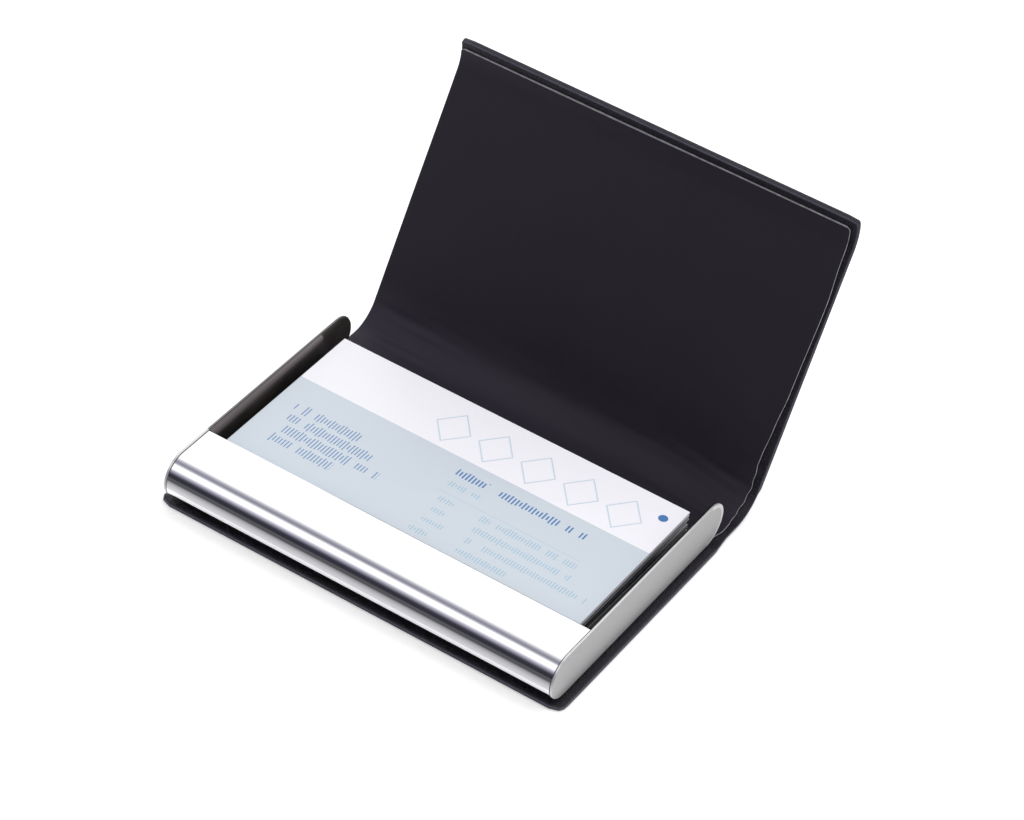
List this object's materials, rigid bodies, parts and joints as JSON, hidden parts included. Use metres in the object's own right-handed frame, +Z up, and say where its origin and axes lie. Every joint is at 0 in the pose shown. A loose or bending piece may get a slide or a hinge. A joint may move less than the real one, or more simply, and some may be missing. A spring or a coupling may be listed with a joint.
{
  "type": "business card case",
  "caption": "Flip-cover business card case: a polished sheet-metal tray with end plates holds a stack of cards, and a soft leather cover folds over it and closes with magnets.",
  "frame": {"origin": "on the underside of the cover, below the middle of the tray", "axes": "+X along the case, +Y from the rolled front edge of the tray towards the spine, +Z up through the cards"},
  "size_m": [0.0968, 0.1033, 0.0611],
  "materials": {
    "polished_steel": "mirror polished sheet",
    "satin_metal": "fine satin with a bright bevelled rim",
    "black_moulding": "semi-gloss black",
    "card_stock": "smooth coated card stock, slight sheen",
    "black_leather": "fine-grained black, semi-matte",
    "black_lining": "finely grained black lining, soft sheen",
    "grey_board": "compressed grey board, hidden",
    "magnet_nickel": "nickel plate, hidden"
  },
  "bodies": {
    "tray": {"steel_shell": "polished_steel", "end_plate_left": "satin_metal", "end_plate_right": "satin_metal", "cheek_left": "black_moulding", "cheek_right": "black_moulding", "base_skin": "black_leather", "base_board": "grey_board", "base_lining": "black_lining", "card_01": "card_stock", "card_02": "card_stock", "card_03": "card_stock", "card_04": "card_stock", "card_05": "card_stock", "card_06": "card_stock", "card_07": "card_stock", "card_08": "card_stock", "card_09": "card_stock", "card_10": "card_stock", "card_11": "card_stock", "card_12": "card_stock", "card_13": "card_stock", "card_14": "card_stock", "card_15": "card_stock", "card_16": "card_stock", "card_17": "card_stock", "card_18": "card_stock"},
    "spine": {"spine_skin": "black_leather", "spine_lining": "black_lining"},
    "lid": {"lid_skin": "black_leather", "lid_board": "grey_board", "lid_lining": "black_lining", "lid_magnet_left": "magnet_nickel", "lid_magnet_right": "magnet_nickel"}
  },
  "joints": [
    {"name": "spine_fold", "type": "hinge", "parent": "tray", "child": "spine", "pos_m": [0, 0.03193, 0.00232], "axis": [1, 0, 0], "range_deg": [0, 90]},
    {"name": "lid_fold", "type": "hinge", "parent": "spine", "child": "lid", "pos_m": [0, 0.04204, 0.00232], "axis": [1, 0, 0], "range_deg": [-63.4, 26.6]}
  ]
}
